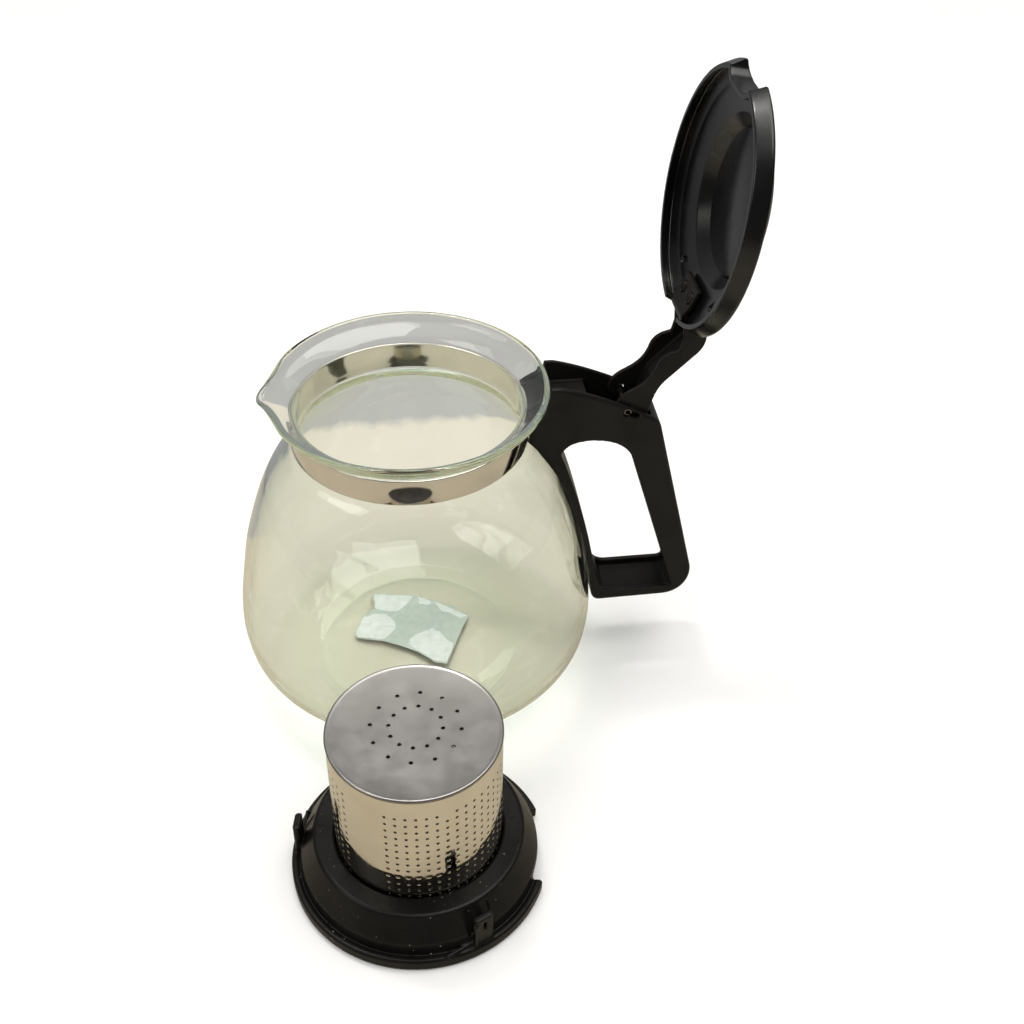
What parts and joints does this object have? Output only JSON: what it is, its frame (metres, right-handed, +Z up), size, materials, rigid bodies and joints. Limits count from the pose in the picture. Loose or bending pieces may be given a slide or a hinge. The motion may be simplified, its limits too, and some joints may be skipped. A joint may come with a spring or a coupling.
{
  "type": "glass teapot",
  "caption": "Round glass teapot with a steel neck band, black handle with hinged lid, and a lift-out perforated steel infuser standing beside it.",
  "frame": {"origin": "centre of the glass base, on the surface the pot stands on", "axes": "+Z up, +X towards the handle, the pouring lip at -X, the infuser at -Y"},
  "size_m": [0.1946, 0.2275, 0.2487],
  "materials": {
    "glass": "clear, faintly green, polished",
    "label_paper": "torn, wrinkled paper",
    "polished_steel": "polished stainless",
    "handle_black": "satin moulded",
    "lid_black": "glossy moulded",
    "collar_black": "semi-gloss moulded",
    "basket_steel": "polished, perforated",
    "brushed_steel": "brushed, with fine scratches"
  },
  "bodies": {
    "pot": {"glass_body": "glass", "label_remnant": "label_paper", "neck_band": "polished_steel", "clamp_plate": "polished_steel", "clamp_screw": "polished_steel", "handle_frame": "handle_black", "hinge_pin": "polished_steel"},
    "lid": {"lid_cap": "lid_black", "lid_plate": "lid_black", "lid_arm": "handle_black", "arm_screw_near": "handle_black", "arm_screw_far": "handle_black"},
    "infuser": {"infuser_collar": "collar_black", "infuser_retainer": "collar_black", "basket_wall": "basket_steel", "basket_bottom": "brushed_steel"}
  },
  "joints": [
    {"name": "lid_hinge", "type": "hinge", "parent": "pot", "child": "lid", "pos_m": [0.0813, 0, 0.124], "axis": [0, -1, 0], "range_deg": [0, 100]},
    {"name": "infuser_lift", "type": "slide", "parent": "pot", "child": "infuser", "axis": [0, -0.7071, 0.7071], "range_m": [0, 0.12]}
  ]
}
